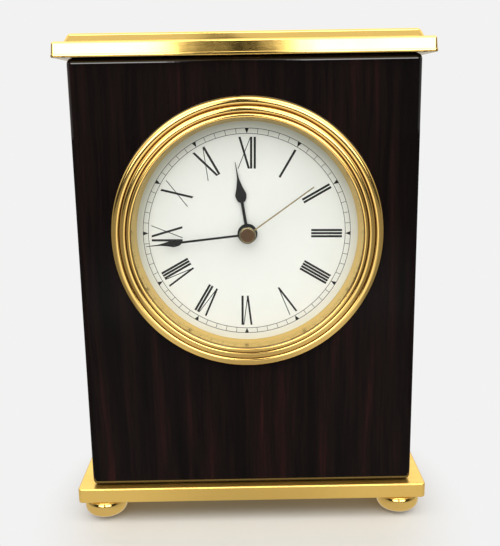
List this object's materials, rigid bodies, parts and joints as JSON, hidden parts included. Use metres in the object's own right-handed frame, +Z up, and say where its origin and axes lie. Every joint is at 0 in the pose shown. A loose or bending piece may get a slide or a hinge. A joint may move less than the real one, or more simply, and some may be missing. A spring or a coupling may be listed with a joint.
{
  "type": "mantel clock",
  "caption": "Free-standing quartz mantel clock: dark lacquered wooden block between brass plates on bun feet, with a round brass-bezelled dial insert.",
  "frame": {"origin": "on the plane the felt pads stand on, under the centre of the clock's overall box", "axes": "+Z up, -Y out through the dial towards the reader, +X to the reader's right"},
  "size_m": [0.124, 0.0512, 0.1694],
  "materials": {
    "lacquered_wood": "near-black mahogany under a polished clear lacquer",
    "polished_brass": "polished and lacquered, fine straight polishing lines",
    "gilt_brass": "turned and polished, gilt colour",
    "clear_glass": "flat clear mineral glass",
    "dial_white": "satin white with black printed numerals",
    "hand_black": "satin black",
    "hand_brass": "thin brass, satin",
    "black_plastic": "moulded, fine spark texture",
    "grey_plastic": "moulded, fine spark texture",
    "gear_white": "natural acetal",
    "gear_green": "coloured acetal",
    "steel": "zinc-plated",
    "soft_iron": "annealed stamped sheet",
    "copper_wire": "enamelled copper wire",
    "magnet": "sintered magnet",
    "board": "glass-fibre board with solder mask",
    "chip": "black epoxy drop",
    "crystal_can": "drawn metal can",
    "contact_metal": "nickel-plated spring strip",
    "felt": "dark felt",
    "rubber": "ribbed rubber",
    "gasket": "thin clear-grey ring",
    "battery_jacket": "plain printed sleeve without lettering, bare metal ends"
  },
  "bodies": {
    "case": {"case_block": "lacquered_wood", "top_plate": "polished_brass", "base_plate": "polished_brass", "foot_front_left": "polished_brass", "foot_front_right": "polished_brass", "foot_rear_left": "polished_brass", "foot_rear_right": "polished_brass", "foot_pads": "felt", "foot_screws": "steel", "base_plate_screws": "steel", "top_plate_screws": "steel"},
    "insert": {"bezel": "gilt_brass", "lens": "clear_glass", "lens_gasket": "gasket", "rehaut_ring": "gilt_brass", "dial": "dial_white", "insert_cup": "black_plastic", "friction_ring": "rubber", "bezel_screws": "steel", "cup_screws": "steel", "movement_front_case": "black_plastic", "movement_rear_case": "grey_plastic", "middle_plate": "gear_white", "gear_bridge": "grey_plastic", "movement_screws": "steel", "stator": "soft_iron", "coil_core": "soft_iron", "coil_bobbin": "gear_white", "coil_winding": "copper_wire", "circuit_board": "board", "ic_chip": "chip", "quartz_crystal": "crystal_can", "positive_contact": "contact_metal", "negative_contact": "contact_metal"},
    "battery_cell": {"battery": "battery_jacket"},
    "minute_arbor": {"centre_wheel": "hand_brass", "cannon_pinion": "hand_brass", "minute_hand": "hand_black"},
    "hour_arbor": {"hour_wheel": "gear_white", "hour_hand": "hand_black"},
    "seconds": {"seconds_arbor": "steel", "seconds_wheel": "gear_green", "second_hand": "hand_brass", "second_hand_cap": "hand_brass"},
    "third": {"third_wheel": "gear_white"},
    "intermediate": {"intermediate_wheel": "gear_white"},
    "rotor": {"rotor_pinion": "gear_green", "rotor_magnet": "magnet"},
    "motion": {"motion_wheel": "gear_white"},
    "setting": {"setting_shaft": "gear_white", "setting_knob": "grey_plastic"}
  },
  "joints": [
    {"name": "insert_pull", "type": "slide", "parent": "case", "child": "insert", "axis": [0, -1, 0], "range_m": [0, 0.045]},
    {"name": "battery_slide", "type": "slide", "parent": "insert", "child": "battery_cell", "axis": [0, 1, 0], "range_m": [0, 0.042]},
    {"name": "minute_spin", "type": "hinge", "parent": "insert", "child": "minute_arbor", "pos_m": [0, 0.00105, 0.1039], "axis": [0, 1, 0], "continuous": true},
    {"name": "hour_spin", "type": "hinge", "parent": "insert", "child": "hour_arbor", "pos_m": [0, 0.00105, 0.1039], "axis": [0, 1, 0], "continuous": true},
    {"name": "seconds_spin", "type": "hinge", "parent": "insert", "child": "seconds", "pos_m": [0, 0.00105, 0.1039], "axis": [0, 1, 0], "continuous": true},
    {"name": "third_spin", "type": "hinge", "parent": "insert", "child": "third", "pos_m": [-0.00257, 0.00105, 0.11095], "axis": [0, 1, 0], "continuous": true},
    {"name": "intermediate_spin", "type": "hinge", "parent": "insert", "child": "intermediate", "pos_m": [0.00606, 0.00105, 0.1074], "axis": [0, 1, 0], "continuous": true},
    {"name": "rotor_spin", "type": "hinge", "parent": "insert", "child": "rotor", "pos_m": [0.00906, 0.00105, 0.1126], "axis": [0, 1, 0], "continuous": true},
    {"name": "motion_spin", "type": "hinge", "parent": "insert", "child": "motion", "pos_m": [-0.0072, 0.00105, 0.1039], "axis": [0, 1, 0], "continuous": true},
    {"name": "setting_spin", "type": "hinge", "parent": "insert", "child": "setting", "pos_m": [-0.0144, 0.00105, 0.1039], "axis": [0, 1, 0], "continuous": true}
  ],
  "couplings": [
    {"joint": "hour_spin", "follows": "minute_spin", "ratio": 0.083333},
    {"joint": "motion_spin", "follows": "minute_spin", "ratio": -0.33333},
    {"joint": "setting_spin", "follows": "minute_spin", "ratio": 1},
    {"joint": "third_spin", "follows": "minute_spin", "ratio": -8},
    {"joint": "seconds_spin", "follows": "minute_spin", "ratio": 60},
    {"joint": "intermediate_spin", "follows": "minute_spin", "ratio": -360},
    {"joint": "rotor_spin", "follows": "minute_spin", "ratio": 1800}
  ]
}
